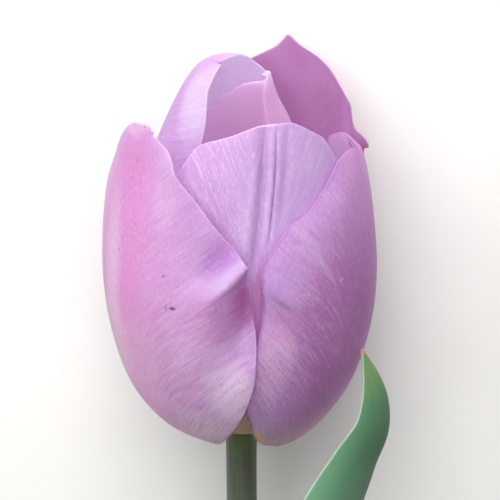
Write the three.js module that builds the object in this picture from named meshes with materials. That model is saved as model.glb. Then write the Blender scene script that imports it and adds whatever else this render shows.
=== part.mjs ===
// A cut single early tulip that lies on a surface: six tepals in two whorls, six stamens, the pistil,
// the stem and two leaves, each one closed mesh. Millimetres, +Z up.
//
// Everything is drawn in the flower's own frame: x to the right, y along the flower's axis from the top of
// the stem towards the tips, z out of its front, which faces up as it lies. A place round the axis is an
// azimuth in degrees, 0 at the front and 90 at the right. The group is moved at the end so that its box
// stands on z = 0 about the origin.
import * as THREE from "three";

const AXIS_HEIGHT = 24.8; // the bloom's axis above the surface that it lies on
const TEPAL_THICKNESS = 0.8;
const LEAF_THICKNESS = 0.8;
const MARGIN_SHARE = 0.75; // a blade's thickness at its margin, as a share of its full one
const LEAST_WIDTH = 0.3; // half width that a blade keeps at its very tip
const TEPAL_ROWS = 25;
const TEPAL_COLUMNS = 19;
const LEAF_ROWS = 37;
const LEAF_COLUMNS = 11;
const ARC_STEPS = 120; // steps that a half width is followed in across a blade
const STEM_RADIUS = 2.95;
const STEM_SIDES = 16;
const STAMEN_SIDES = 10;
const PISTIL_SIDES = 24;
const RECEPTACLE_TOP = 5;

const UPPER_FOOT = 78; // how far down the stem each leaf clasps it
const LOWER_FOOT = 184;

const COLOURS = {
  tepal: 0xc993cc,
  stem: 0x8a9c78,
  leaf: 0x5d8268,
  stamen: 0xd8bd57,
  pistil: 0xb4bd72,
};

// Midribs as [distance from the axis, height] points, which each tepal carries on with points of its own.
const OUTER_CUP = [
  [3.8, 0.8],
  [6.3, -0.4],
  [10.8, 0.4],
  [16, 4.4],
  [20.8, 11.5],
  [24, 22],
  [25.2, 33],
  [24.7, 45],
];
const INNER_CUP = [
  [3.8, 3.3],
  [6.2, 2.3],
  [9.8, 2.8],
  [14.4, 6.2],
  [18.4, 12.8],
  [21, 22.5],
  [22, 34],
];

const clamp = THREE.MathUtils.clamp;
const smoothstep = THREE.MathUtils.smoothstep;
const radians = THREE.MathUtils.degToRad;
const bump = (x, centre, width) => Math.exp(-(((x - centre) / width) ** 2));

// The smooth curve through [x, y] points, level beyond its ends.
function through(points, x) {
  const last = points.length - 1;
  const at = clamp(x, points[0][0], points[last][0]);
  let i = 0;
  while (i < last - 1 && at >= points[i + 1][0]) i += 1;
  const slope = (k) => {
    const a = points[Math.max(k - 1, 0)];
    const b = points[Math.min(k + 1, last)];
    return (b[1] - a[1]) / (b[0] - a[0]);
  };
  const step = points[i + 1][0] - points[i][0];
  const t = (at - points[i][0]) / step;
  return (
    (2 * t ** 3 - 3 * t ** 2 + 1) * points[i][1] +
    (t ** 3 - 2 * t ** 2 + t) * step * slope(i) +
    (3 * t ** 2 - 2 * t ** 3) * points[i + 1][1] +
    (t ** 3 - t ** 2) * step * slope(i + 1)
  );
}

// A midrib of [distance, height] points as a function of u, 0 at its foot and 1 at its tip.
function midrib(points) {
  const along = [0];
  for (let i = 1; i < points.length; i += 1) {
    along.push(
      along[i - 1] +
        Math.hypot(
          points[i][0] - points[i - 1][0],
          points[i][1] - points[i - 1][1],
        ),
    );
  }
  const length = along[along.length - 1];
  const track = (k) => points.map((point, i) => [along[i] / length, point[k]]);
  const distances = track(0);
  const heights = track(1);
  return (u) => [through(distances, u), through(heights, u)];
}

// The half blade from the midrib outwards: for each column its reach sideways and its drop behind the
// midrib, where turn(q) is the angle that the blade has turned through at the share q of its half width.
function halfSection(width, turn, columns) {
  const reach = [0];
  const drop = [0];
  for (let k = 0; k < ARC_STEPS; k += 1) {
    const angle = turn((k + 0.5) / ARC_STEPS);
    reach.push(reach[k] + (Math.cos(angle) * width) / ARC_STEPS);
    drop.push(drop[k] + (Math.sin(angle) * width) / ARC_STEPS);
  }
  return Array.from({ length: columns }, (_, j) => {
    const k = Math.round((j / (columns - 1)) * ARC_STEPS);
    return { q: j / (columns - 1), reach: reach[k], drop: drop[k] };
  });
}

// Both halves of a blade's section as one list of columns, from its left margin to its right one.
function section(half) {
  const left = half(-1);
  const right = half(1);
  const mirrored = left
    .slice(1)
    .reverse()
    .map((c) => ({ v: -c.q, reach: -c.reach, drop: c.drop, width: c.width }));
  return mirrored.concat(right.map((c) => ({ v: c.q, ...c })));
}

const rowPlaces = (rows) =>
  Array.from({ length: rows }, (_, i) => {
    const t = i / (rows - 1);
    return 0.45 * t + 0.55 * Math.sin((Math.PI / 2) * t);
  });

// The normals of a grid whose columns run to the right and whose rows run up, as seen from outside.
function gridNormals(grid) {
  const pick = (i, j) =>
    grid[clamp(i, 0, grid.length - 1)][clamp(j, 0, grid[0].length - 1)].clone();
  return grid.map((row, i) =>
    row.map((_, j) =>
      pick(i, j + 1)
        .sub(pick(i, j - 1))
        .cross(pick(i + 1, j).sub(pick(i - 1, j)))
        .normalize(),
    ),
  );
}

// A closed mesh from two skins of one grid, split into the same triangles, and the rim between them.
function shell(outer, inner) {
  const rows = outer.length;
  const columns = outer[0].length;
  const points = outer.flat().concat(inner.flat());
  const backs = rows * columns;
  const faces = [];
  const quad = (a, b, c, d) => faces.push([a, b, c], [a, c, d]);
  for (let i = 0; i < rows - 1; i += 1) {
    for (let j = 0; j < columns - 1; j += 1) {
      const a = i * columns + j;
      const b = a + 1;
      const c = b + columns;
      const d = a + columns;
      quad(a, b, c, d);
      faces.push([backs + a, backs + c, backs + b]);
      faces.push([backs + a, backs + d, backs + c]);
    }
  }
  const rim = [];
  for (let j = 0; j < columns; j += 1) rim.push(j);
  for (let i = 1; i < rows; i += 1) rim.push(i * columns + columns - 1);
  for (let j = columns - 2; j >= 0; j -= 1) rim.push((rows - 1) * columns + j);
  for (let i = rows - 2; i > 0; i -= 1) rim.push(i * columns);
  rim.forEach((a, k) => {
    const b = rim[(k + 1) % rim.length];
    quad(b, a, backs + a, backs + b);
  });
  return solid(points, faces);
}

function solid(points, faces) {
  const geometry = new THREE.BufferGeometry();
  geometry.setAttribute(
    "position",
    new THREE.Float32BufferAttribute(
      points.flatMap((p) => p.toArray()),
      3,
    ),
  );
  geometry.setIndex(faces.flat());
  geometry.computeVertexNormals();
  return geometry;
}

// A blade of the given thickness about a grid of middle points, pressed flat where it meets the surface
// below.
function blade(grid, thickness) {
  const normals = gridNormals(grid);
  const columns = grid[0].length;
  const floor = -AXIS_HEIGHT;
  const skin = (side) =>
    grid.map((row, i) =>
      row.map((point, j) => {
        const v = Math.abs((2 * j) / (columns - 1) - 1);
        const half = (thickness / 2) * (1 - (1 - MARGIN_SHARE) * v ** 4);
        const moved = point
          .clone()
          .addScaledVector(normals[i][j], side * half);
        const below = normals[i][j].z * side < 0;
        moved.z = Math.max(moved.z, below ? floor : floor + thickness);
        return moved;
      }),
    );
  return shell(skin(1), skin(-1));
}

// A tepal: its midrib's course in and up, its azimuth, its half widths and how its halves curl in or
// stand out.
function tepal(shape) {
  const course = midrib(shape.midrib);
  const grid = rowPlaces(TEPAL_ROWS).map((u) => {
    const [plain, height] = course(u);
    const distance = plain * (1 + (shape.grow ?? 0) * smoothstep(u, 0, 0.2));
    const azimuth = radians(shape.azimuth + through(shape.drift ?? [[0, 0], [1, 0]], u));
    const half = (side) => {
      const edge = side < 0 ? shape.left : shape.right;
      const past = clamp((u - edge.roundFrom) / (1 - edge.roundFrom), 0, 1);
      const rounded = through(edge.width, u) * (1 - past ** 2) ** 0.5;
      const width = Math.max(rounded, LEAST_WIDTH);
      const radius = distance * through(edge.open ?? [[0, 1], [1, 1]], u);
      const fold = radians(through(edge.fold ?? [[0, 0], [1, 0]], u));
      const turn = (q) =>
        (width / radius) * q + fold * smoothstep(q, 0, edge.foldEnd ?? 1);
      const columns = (TEPAL_COLUMNS + 1) / 2;
      return halfSection(width, turn, columns).map((c) => ({ ...c, width }));
    };
    return section(half).map((c) => {
      const edge = c.v < 0 ? shape.left : shape.right;
      const stand =
        (edge.stand ?? 0) * smoothstep(Math.abs(c.v), 0.3, 1) * smoothstep(u, 0.03, 0.15);
      const relief = shape.relief ? shape.relief(c.v * c.width, height) : 0;
      const from = distance - c.drop + stand + relief;
      return new THREE.Vector3(
        from * Math.sin(azimuth) + c.reach * Math.cos(azimuth),
        height,
        from * Math.cos(azimuth) - c.reach * Math.sin(azimuth),
      );
    });
  });
  return blade(grid, TEPAL_THICKNESS);
}

// The fold that runs from a corner of the margin down into the blade, with a hollow below it.
function cornerFold(side, corner, slope, ridge, hollow) {
  const ridgeWidth = 4.7;
  const hollowWidth = 6;
  const hollowAt = -9.8;
  return (across, height) => {
    const line = height - (corner.height - slope * (corner.across - side * across));
    const share = smoothstep(side * across, 4, corner.across - 3);
    return share * (ridge * bump(line, 0, ridgeWidth) - hollow * bump(line, hollowAt, hollowWidth));
  };
}

const outerLeft = {
  azimuth: -52,
  midrib: [...OUTER_CUP, [23.2, 56], [22.4, 65]],
  grow: 0.012,
  left: {
    width: [[0, 2.6], [0.1, 7], [0.25, 17], [0.45, 22.5], [0.65, 21.5], [0.8, 15], [0.9, 9], [1, 6]],
    roundFrom: 0.9,
  },
  right: {
    width: [
      [0, 2.6], [0.07, 4], [0.16, 10], [0.25, 17], [0.31, 20.6], [0.37, 23.4], [0.45, 25], [0.55, 24.9],
      [0.66, 25], [0.69, 24.6], [0.73, 22], [0.79, 17.4], [0.87, 10.8], [0.93, 7.7], [1, 5],
    ],
    roundFrom: 0.9,
    stand: 1.1,
  },
  relief: cornerFold(1, { across: 23.5, height: 41 }, 0.62, 1.3, 1.5),
};

const outerRight = {
  azimuth: 61,
  midrib: [...OUTER_CUP, [23.4, 54], [22.6, 59.4]],
  drift: [[0, 0], [0.8, 0], [1, 8]],
  left: {
    width: [
      [0, 2.6], [0.07, 3.8], [0.13, 7], [0.165, 11], [0.23, 15.5], [0.28, 17.9], [0.325, 20.6],
      [0.41, 22.4], [0.52, 22.8], [0.7, 23], [0.74, 21.9], [0.77, 20.4], [0.81, 17.3], [0.85, 14], [0.92, 9],
      [1, 4],
    ],
    roundFrom: 0.96,
    stand: -0.85,
  },
  right: {
    width: [[0, 2.6], [0.1, 7], [0.25, 16], [0.45, 23], [0.65, 24], [0.8, 22], [0.9, 18], [1, 12]],
    roundFrom: 0.92,
    open: [[0, 1], [0.5, 1], [0.8, 0.75], [1, 0.6]],
    stand: -0.7,
  },
  relief: cornerFold(-1, { across: 24, height: 37 }, 0.55, 1.5, 1.1),
};

const outerBack = {
  azimuth: 158,
  midrib: [...OUTER_CUP, [23.2, 56], [20.4, 65], [17.4, 73]],
  drift: [[0, 6], [0.6, 0], [1, -8]],
  left: {
    width: [
      [0, 2.6], [0.1, 7], [0.25, 16], [0.45, 22], [0.65, 22.5], [0.76, 22.8], [0.785, 22.8], [0.8, 18.6],
      [0.815, 16.2], [0.85, 15], [0.88, 12.4], [0.92, 9.9], [0.954, 6.6], [0.974, 2.6], [1, 0.3],
    ],
    roundFrom: 0.999,
    stand: 1.2,
  },
  right: {
    width: [
      [0, 2.6], [0.1, 7], [0.25, 16], [0.45, 23], [0.65, 24], [0.8, 18], [0.88, 12], [0.92, 8.7],
      [0.94, 5.8], [0.96, 3.2], [0.985, 1.2], [1, 0.3],
    ],
    roundFrom: 0.999,
  },
};

const innerFront = {
  azimuth: 8,
  midrib: [...INNER_CUP, [21.8, 45], [20.4, 57], [19, 66.8]],
  drift: [[0, 0], [0.5, 0], [1, 6]],
  left: {
    width: [[0, 2.4], [0.1, 6], [0.25, 14], [0.45, 20], [0.65, 20], [0.85, 16.4], [0.93, 13.2], [1, 11]],
    roundFrom: 0.9,
  },
  right: {
    width: [[0, 2.4], [0.1, 6], [0.25, 14], [0.45, 20], [0.65, 20], [0.86, 16], [0.93, 13.2], [1, 12]],
    roundFrom: 0.9,
  },
};

const innerLeft = {
  azimuth: -122,
  midrib: [...INNER_CUP, [20, 45], [15.9, 55], [12.3, 63], [9.2, 69], [6.4, 72]],
  left: {
    width: [
      [0, 2.4], [0.1, 6], [0.25, 14], [0.45, 20], [0.65, 21], [0.8, 20], [0.895, 16.9], [0.912, 15.6],
      [0.952, 11], [1, 6],
    ],
    roundFrom: 0.95,
    stand: 2.1,
  },
  right: {
    width: [
      [0, 2.4], [0.1, 6], [0.25, 14], [0.45, 20], [0.65, 20], [0.8, 17.5], [0.9, 12.6], [0.96, 8.4],
      [1, 4.5],
    ],
    roundFrom: 0.97,
    open: [[0, 1], [0.5, 1], [0.75, 0.6], [1, 0.5]],
  },
};

const innerBack = {
  azimuth: 150,
  midrib: [...INNER_CUP, [19.2, 45], [14.2, 57], [11.2, 64], [9.9, 67.6]],
  left: {
    width: [
      [0, 2.4], [0.1, 6], [0.25, 14], [0.45, 19], [0.6, 14.5], [0.7, 10.5], [0.8, 8], [0.9, 5.6],
      [0.96, 2.6], [1, 0.3],
    ],
    roundFrom: 0.999,
    fold: [[0, 0], [0.5, 10], [0.75, 100], [1, 115]],
    foldEnd: 0.35,
  },
  right: {
    width: [
      [0, 2.4], [0.1, 6], [0.25, 14], [0.45, 20], [0.65, 20], [0.8, 17], [0.875, 14.3], [0.9, 12],
      [0.93, 9], [0.95, 5], [0.965, 2.2], [1, 0.3],
    ],
    roundFrom: 0.999,
    stand: -2.1,
  },
};

// A closed tube along a path. Each ring has a place along it, a radius and how flat it is towards
// facing, the direction that angle 0 looks in; sectionOf(angle, place) varies the radius round the ring.
function tube(path, rings, sides, facing, sectionOf = () => 1) {
  const points = [];
  for (const [place, radius, flat = 1] of rings) {
    const centre = path.getPointAt(place);
    const tangent = path.getTangentAt(place);
    const front = facing
      .clone()
      .addScaledVector(tangent, -facing.dot(tangent))
      .normalize();
    const side = tangent.clone().cross(front);
    for (let k = 0; k < sides; k += 1) {
      const angle = (2 * Math.PI * k) / sides;
      const reach = radius * sectionOf(angle, place);
      points.push(
        centre
          .clone()
          .addScaledVector(front, flat * reach * Math.cos(angle))
          .addScaledVector(side, reach * Math.sin(angle)),
      );
    }
  }
  const faces = [];
  for (let i = 0; i < rings.length - 1; i += 1) {
    for (let k = 0; k < sides; k += 1) {
      const a = i * sides + k;
      const b = i * sides + ((k + 1) % sides);
      faces.push([a, b, b + sides], [a, b + sides, a + sides]);
    }
  }
  const ends = [0, (rings.length - 1) * sides];
  for (let k = 1; k < sides - 1; k += 1) {
    faces.push([ends[0], ends[0] + k + 1, ends[0] + k]);
    faces.push([ends[1], ends[1] + k, ends[1] + k + 1]);
  }
  return solid(points, faces);
}

const pathOf = (points) =>
  new THREE.CatmullRomCurve3(points.map((p) => new THREE.Vector3(...p)));

// The stem's course down from the bloom to its cut end, which lies on the surface.
const STEM_END_HEIGHT = STEM_RADIUS - AXIS_HEIGHT;
const STEM_COURSE = [
  [0, RECEPTACLE_TOP, 0],
  [0, -8, 0],
  [0.6, -50, -1.2],
  [3, -105, -6.5],
  [7, -165, -14.5],
  [11, -212, -20.2],
  [14, -245, STEM_END_HEIGHT],
];
const STEM_PATH = pathOf(STEM_COURSE);

// A point beside the stem, at a distance down from its top and out from its axis, at an azimuth round it.
function beside(down, azimuth, out) {
  const place = down / STEM_PATH.getLength();
  const tangent = STEM_PATH.getTangentAt(place);
  const away = new THREE.Vector3(Math.sin(radians(azimuth)), 0, Math.cos(radians(azimuth)));
  away.addScaledVector(tangent, -away.dot(tangent)).normalize();
  return STEM_PATH.getPointAt(place).addScaledVector(away, out).toArray();
}

function stem() {
  const length = STEM_PATH.getLength();
  const rings = [
    [0, 3.1],
    [0.6, 3.2],
    [4.5, 3.15],
    [8, 2.95],
    [14, 2.9],
    [24, 2.9],
    [40, 2.95],
  ].map(([down, radius]) => [down / length, radius]);
  const from = 40;
  const steps = 26;
  for (let k = 1; k <= steps; k += 1) {
    const down = from + ((length - from) * k) / steps;
    const swell = 0.12 * bump(down, UPPER_FOOT, 6) + 0.15 * bump(down, LOWER_FOOT, 7);
    rings.push([Math.min(down / length, 1), STEM_RADIUS + swell]);
  }
  return tube(STEM_PATH, rings, STEM_SIDES, new THREE.Vector3(0, 0, 1));
}

// The pistil: a three sided ovary with the three lobes of its stigma on top.
function pistil() {
  const foot = RECEPTACLE_TOP + 0.3;
  const height = 22;
  const path = pathOf([[0, foot, 0], [0, foot + height / 2, 0], [0, foot + height, 0]]);
  const rings = [
    [0, 1.3],
    [0.04, 1.7],
    [0.12, 2.2],
    [0.25, 2.7],
    [0.45, 2.9],
    [0.65, 2.75],
    [0.78, 2.3],
    [0.84, 2.1],
    [0.87, 2.7],
    [0.91, 3.3],
    [0.95, 3.2],
    [0.98, 2.5],
    [1, 1.2],
  ];
  const lobes = (angle, place) => 1 + (place > 0.85 ? 0.3 : 0.09) * Math.cos(3 * angle);
  return tube(path, rings, PISTIL_SIDES, new THREE.Vector3(0, 0, 1), lobes);
}

// A stamen: a filament that tapers upwards and the long anther that it carries, grooved down its length.
function stamen(azimuth) {
  const a = radians(azimuth);
  const place = (out, height) => [out * Math.sin(a), height, out * Math.cos(a)];
  const foot = RECEPTACLE_TOP + 0.45;
  const path = pathOf([place(2.5, foot), place(3.9, 10), place(5.2, 15), place(6.1, 20), place(6.6, 27)]);
  const rings = [
    [0, 0.72, 0.7],
    [0.15, 0.8, 0.7],
    [0.3, 0.65, 0.8],
    [0.41, 0.4, 1],
    [0.44, 0.45, 1],
    [0.47, 1, 0.9],
    [0.52, 1.3, 0.85],
    [0.65, 1.35, 0.85],
    [0.8, 1.25, 0.85],
    [0.92, 1, 0.85],
    [0.98, 0.6, 0.9],
    [1, 0.25, 1],
  ];
  const groove = (angle, along) => 1 - (along > 0.46 ? 0.14 : 0) * Math.cos(2 * angle) ** 8;
  return tube(path, rings, STAMEN_SIDES, new THREE.Vector3(Math.sin(a), 0, Math.cos(a)), groove);
}

// A leaf: the course of its midrib, its half width and the turn of each half, which clasps the stem at
// its foot.
function leaf(shape) {
  const path = pathOf(shape.course);
  const places = Array.from({ length: LEAF_ROWS }, (_, i) => i / (LEAF_ROWS - 1));
  const grid = places.map((u) => {
    const centre = path.getPointAt(u);
    const tangent = path.getTangentAt(u);
    const azimuth = radians(through(shape.facing, u));
    const out = new THREE.Vector3(Math.sin(azimuth), 0, Math.cos(azimuth));
    out.addScaledVector(tangent, -out.dot(tangent)).normalize();
    const side = tangent.clone().cross(out);
    const half = () => {
      const width = Math.max(through(shape.width, u), LEAST_WIDTH);
      const turned = radians(through(shape.turn, u));
      const columns = (LEAF_COLUMNS + 1) / 2;
      return halfSection(width, (q) => turned * q, columns).map((c) => ({ ...c, width }));
    };
    return section(half).map((c) => {
      const wave = shape.wave(u, c.v);
      return centre
        .clone()
        .addScaledVector(side, c.reach)
        .addScaledVector(out, wave - c.drop);
    });
  });
  return blade(grid, LEAF_THICKNESS);
}

// From the stem's axis to the middle of a leaf's foot.
const CLASP = STEM_RADIUS + 0.55 + LEAF_THICKNESS / 2;

const upperLeaf = {
  course: [
    beside(UPPER_FOOT, 50, CLASP),
    beside(UPPER_FOOT - 8, 50, CLASP + 0.1),
    beside(UPPER_FOOT - 18, 50, CLASP + 2.6),
    [12.5, -37, 9],
    [16, -16, 14.6],
    [20.4, -1.7, 15],
    [24, 5, 14],
    [25.6, 9.6, 12.6],
    [25.3, 13.6, 11.4],
    [23.2, 18.6, 10],
  ],
  facing: [[0, 50], [0.3, 46], [0.6, 42], [1, 36]],
  width: [
    [0, 6.2], [0.08, 6.3], [0.25, 10.5], [0.45, 11.5], [0.62, 9.2], [0.75, 6.6], [0.87, 4.2], [0.95, 2],
    [1, 0.3],
  ],
  turn: [[0, 92], [0.08, 90], [0.18, 66], [0.35, 44], [0.6, 40], [1, 34]],
  wave: (u, v) => 0.5 * v ** 2 * Math.sin(9 * u + 1.2 * Math.sign(v)),
};

const lowerLeaf = {
  course: [
    beside(LOWER_FOOT, -95, CLASP),
    beside(LOWER_FOOT - 10, -95, CLASP + 0.1),
    beside(LOWER_FOOT - 22, -95, CLASP + 3.4),
    [-10, -132, -10.5],
    [-22, -112, -11.5],
    [-32, -90, -18.5],
    [-36.5, -68, -23],
    [-38, -50, -24],
    [-37, -36, -23],
  ],
  facing: [[0, -95], [0.1, -96], [0.3, -122], [0.55, -150], [1, -165]],
  width: [
    [0, 6.4], [0.06, 6.4], [0.25, 14], [0.45, 18.5], [0.62, 17], [0.78, 12], [0.9, 6.5], [0.97, 2.4],
    [1, 0.3],
  ],
  turn: [[0, 94], [0.07, 92], [0.16, 70], [0.32, 46], [0.6, 32], [1, 24]],
  wave: (u, v) => 1.6 * v ** 2 * Math.sin(15 * u + 1.5 * Math.sign(v)) * smoothstep(u, 0.1, 0.3),
};

const tulip = new THREE.Group();

function add(name, geometry, colour, roughness) {
  const material = new THREE.MeshStandardMaterial({ color: colour, roughness, metalness: 0 });
  const mesh = new THREE.Mesh(geometry, material);
  mesh.name = name;
  tulip.add(mesh);
}

add("stem", stem(), COLOURS.stem, 0.5);
add("upper_leaf", leaf(upperLeaf), COLOURS.leaf, 0.45);
add("lower_leaf", leaf(lowerLeaf), COLOURS.leaf, 0.45);
add("tepal_outer_left", tepal(outerLeft), COLOURS.tepal, 0.5);
add("tepal_outer_right", tepal(outerRight), COLOURS.tepal, 0.5);
add("tepal_outer_back", tepal(outerBack), COLOURS.tepal, 0.5);
add("tepal_inner_front", tepal(innerFront), COLOURS.tepal, 0.5);
add("tepal_inner_left", tepal(innerLeft), COLOURS.tepal, 0.5);
add("tepal_inner_back", tepal(innerBack), COLOURS.tepal, 0.5);
add("pistil", pistil(), COLOURS.pistil, 0.5);
const STAMENS = 6;
for (let k = 0; k < STAMENS; k += 1) {
  add("stamen_" + (k + 1), stamen(30 + (360 / STAMENS) * k), COLOURS.stamen, 0.7);
}

const box = new THREE.Box3().setFromObject(tulip, true);
const middle = box.getCenter(new THREE.Vector3());
tulip.position.set(-middle.x, -middle.y, -box.min.z);

export default tulip;
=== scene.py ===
# %% [markdown]
# # A cut single early tulip
#
# The flower lies on its back on a pale table: six tepals in two whorls of three, the stem with its two
# leaves, and inside the bloom the pistil and six stamens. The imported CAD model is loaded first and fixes
# every size and place. Each thin, veined piece made below stands in for one of its plain solids.

# %% Load the frame
from types import SimpleNamespace

import bpy
import numpy as np
from mathutils import Matrix, Vector


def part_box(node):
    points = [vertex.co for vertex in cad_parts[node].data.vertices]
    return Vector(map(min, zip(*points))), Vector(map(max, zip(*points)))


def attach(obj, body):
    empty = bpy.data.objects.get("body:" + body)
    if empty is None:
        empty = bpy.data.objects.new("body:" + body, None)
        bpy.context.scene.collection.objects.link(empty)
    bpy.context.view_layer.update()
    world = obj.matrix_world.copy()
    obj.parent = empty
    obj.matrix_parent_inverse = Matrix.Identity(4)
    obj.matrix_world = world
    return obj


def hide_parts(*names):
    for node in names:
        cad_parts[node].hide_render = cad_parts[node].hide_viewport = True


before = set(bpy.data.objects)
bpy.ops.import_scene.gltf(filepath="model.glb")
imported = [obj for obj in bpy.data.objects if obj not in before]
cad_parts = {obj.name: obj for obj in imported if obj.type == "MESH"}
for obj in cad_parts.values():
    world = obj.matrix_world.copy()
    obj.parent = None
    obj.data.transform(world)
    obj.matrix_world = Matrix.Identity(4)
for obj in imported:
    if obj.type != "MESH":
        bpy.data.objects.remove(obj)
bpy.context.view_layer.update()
MM = 0.001

# %% [markdown]
# ## The flower's own frame
#
# A flower is easiest to describe about its axis. Here x is to its right, y runs from the top of the stem up
# to the tips, and z points out of its front, which faces up as it lies. All lengths are in millimetres
# until a mesh is written. The pistil stands on the axis, so its box in the CAD model says where the axis
# is.

# %% Where the flower's axis lies
AXIS_HEIGHT = 24.8
PISTIL_FOOT = 5.3
pistil_low, pistil_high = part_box("pistil")
ORIGIN = np.array([
    (pistil_low.x + pistil_high.x) / 2 / MM,
    pistil_low.y / MM - PISTIL_FOOT,
    AXIS_HEIGHT,
])
print("axis starts at, mm:", ORIGIN.round(2))

# %% [markdown]
# ## The camera
#
# The picture looks at the bloom from 20 degrees above its horizon while it stands. Lying down, that is a
# camera above the table which leans 20 degrees from the vertical towards the tips. The camera comes first
# because every later look at the work is judged through it. A long lens at half a metre keeps the picture's
# flat perspective.

# %% Camera at the picture's viewing angle
VIEW_TILT = np.radians(20)
VIEW_DISTANCE = 560
PIXELS_PER_MM = 5.25
PICTURE_SIZE = 500
VIEW_RIGHT = np.array([1.0, 0.0, 0.0])
VIEW_UP = np.array([0.0, np.cos(VIEW_TILT), -np.sin(VIEW_TILT)])
VIEW_BACK = np.array([0.0, np.sin(VIEW_TILT), np.cos(VIEW_TILT)])
# The top of the stem is at this pixel of the picture.
STEM_TOP_PIXEL = (241.5, 425)


def place_camera():
    """A camera that looks along -VIEW_BACK, with the top of the stem at its pixel of the picture."""
    half = PICTURE_SIZE / 2
    aim = (
        ORIGIN
        + VIEW_RIGHT * (half - STEM_TOP_PIXEL[0]) / PIXELS_PER_MM
        + VIEW_UP * (STEM_TOP_PIXEL[1] - half) / PIXELS_PER_MM
    )
    place = (aim + VIEW_BACK * VIEW_DISTANCE) * MM
    lens = bpy.data.cameras.new("camera")
    lens.sensor_fit = "HORIZONTAL"
    lens.angle = 2 * np.arctan(half / (PIXELS_PER_MM * VIEW_DISTANCE))
    lens.clip_start = 0.01
    camera = bpy.data.objects.new("camera", lens)
    axes = Matrix([VIEW_RIGHT, VIEW_UP, VIEW_BACK]).transposed().to_4x4()
    camera.matrix_world = Matrix.Translation(Vector(place)) @ axes
    bpy.context.scene.collection.objects.link(camera)
    bpy.context.scene.camera = camera
    return camera


camera = place_camera()
print("camera at, m:", [round(value, 3) for value in camera.location])

# %% [markdown]
# ## Curves drawn through a few points
#
# A petal maker thinks in a few measures: how wide the petal is at its foot, its belly and its shoulder.
# Splines could be Blender's own curves, but here one function runs a smooth cubic through such points for a
# whole numpy array at once, and every width, bend and course below is drawn with it.


# %% Smooth curves as arrays
def hermite(t, start, end, rise_start, rise_end):
    """The cubic from start to end at shares t of the way; a rise is its slope there times the whole way."""
    return (
        (2 * t**3 - 3 * t**2 + 1) * start
        + (t**3 - 2 * t**2 + t) * rise_start
        + (3 * t**2 - 2 * t**3) * end
        + (t**3 - t**2) * rise_end
    )


def through(points, x):
    """The cubic through [x, y] points whose slope at a point is that of the line between its neighbours."""
    knots = np.asarray(points, float)
    at, value = knots[:, 0], knots[:, 1]
    slope = np.empty_like(value)
    slope[1:-1] = (value[2:] - value[:-2]) / (at[2:] - at[:-2])
    slope[0] = (value[1] - value[0]) / (at[1] - at[0])
    slope[-1] = (value[-1] - value[-2]) / (at[-1] - at[-2])
    x = np.clip(x, at[0], at[-1])
    i = np.clip(np.searchsorted(at, x, side="right") - 1, 0, len(at) - 2)
    step = at[i + 1] - at[i]
    return hermite((x - at[i]) / step, value[i], value[i + 1], step * slope[i], step * slope[i + 1])


def smooth(x, low, high):
    """0 below low, 1 above high and a smooth step between them; high may be the lower one."""
    t = np.clip((x - low) / (high - low), 0, 1)
    return t * t * (3 - 2 * t)


def bump(x, centre, width):
    """A bell of height 1 at centre that has fallen to a third at one width from it."""
    return np.exp(-(((x - centre) / width) ** 2))


def ripple(x, *waves):
    """A sum of sine waves, each given as (height, length, start), as an edge that grew unevenly has."""
    return sum(height * np.sin(2 * np.pi * x / length + start) for height, length, start in waves)


def crowded(count, even):
    """Places from 0 to 1 that crowd towards 1: even is the share of equal steps, the rest a quarter sine."""
    t = np.linspace(0, 1, count)
    return even * t + (1 - even) * np.sin(np.pi / 2 * t)


print("half way between 2 and 4:", through([[0, 2], [1, 4]], 0.5))

# %% [markdown]
# ## From a sheet of points to a closed mesh
#
# A petal is a thin solid with two skins and a rounded rim. Blender's Solidify modifier would leave a square
# edge and give both skins the same UVs. Here the middle sheet is a grid of points, the skins are that grid
# moved out and in along its normals by half the thickness, and the thickness falls off as a quarter circle
# near the rim, so that the margin catches the light as a thin bright line. Three UV maps carry what the
# finish needs to know: the place on the petal in millimetres, the vein that runs there, and how near the
# rim is on which skin.


# %% Sheets, rims and meshes
def sheet_normals(points):
    """Unit normals of a grid whose columns run right and rows run up: right cross up, so outwards."""
    right = np.empty_like(points)
    right[:, 1:-1] = points[:, 2:] - points[:, :-2]
    right[:, 0] = points[:, 1] - points[:, 0]
    right[:, -1] = points[:, -1] - points[:, -2]
    up = np.empty_like(points)
    up[1:-1] = points[2:] - points[:-2]
    up[0] = points[1] - points[0]
    up[-1] = points[-1] - points[-2]
    normals = np.cross(right, up)
    return normals / np.maximum(np.linalg.norm(normals, axis=2, keepdims=True), 1e-12)


def grid_quads(rows, columns):
    """The four corners of each cell of a grid, anticlockwise as seen from outside."""
    index = np.arange(rows * columns).reshape(rows, columns)
    corners = [index[:-1, :-1], index[:-1, 1:], index[1:, 1:], index[1:, :-1]]
    return np.stack([corner.ravel() for corner in corners], axis=1)


def grid_border(rows, columns):
    """The points round a grid's border, anticlockwise from its first corner."""
    index = np.arange(rows * columns).reshape(rows, columns)
    sides = [index[0, :-1], index[:-1, -1], index[-1, :0:-1], index[:0:-1, 0]]
    return np.concatenate(sides)


def write_mesh(name, points, faces, maps=None):
    """A mesh object from points in the flower's frame in mm, faces, and UV maps with a pair for each
    point."""
    mesh = bpy.data.meshes.new(name)
    mesh.from_pydata((points + ORIGIN) * MM, [], faces)
    mesh.polygons.foreach_set("use_smooth", np.ones(len(mesh.polygons), bool))
    corner = np.empty(len(mesh.loops), np.int32)
    mesh.loops.foreach_get("vertex_index", corner)
    for map_name, pairs in (maps or {}).items():
        layer = mesh.uv_layers.new(name=map_name)
        layer.data.foreach_set("uv", pairs[corner].astype(np.float32).ravel())
    mesh.update()
    piece = bpy.data.objects.new(name, mesh)
    bpy.context.scene.collection.objects.link(piece)
    print(name, "has", len(faces), "faces")
    return piece


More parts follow.
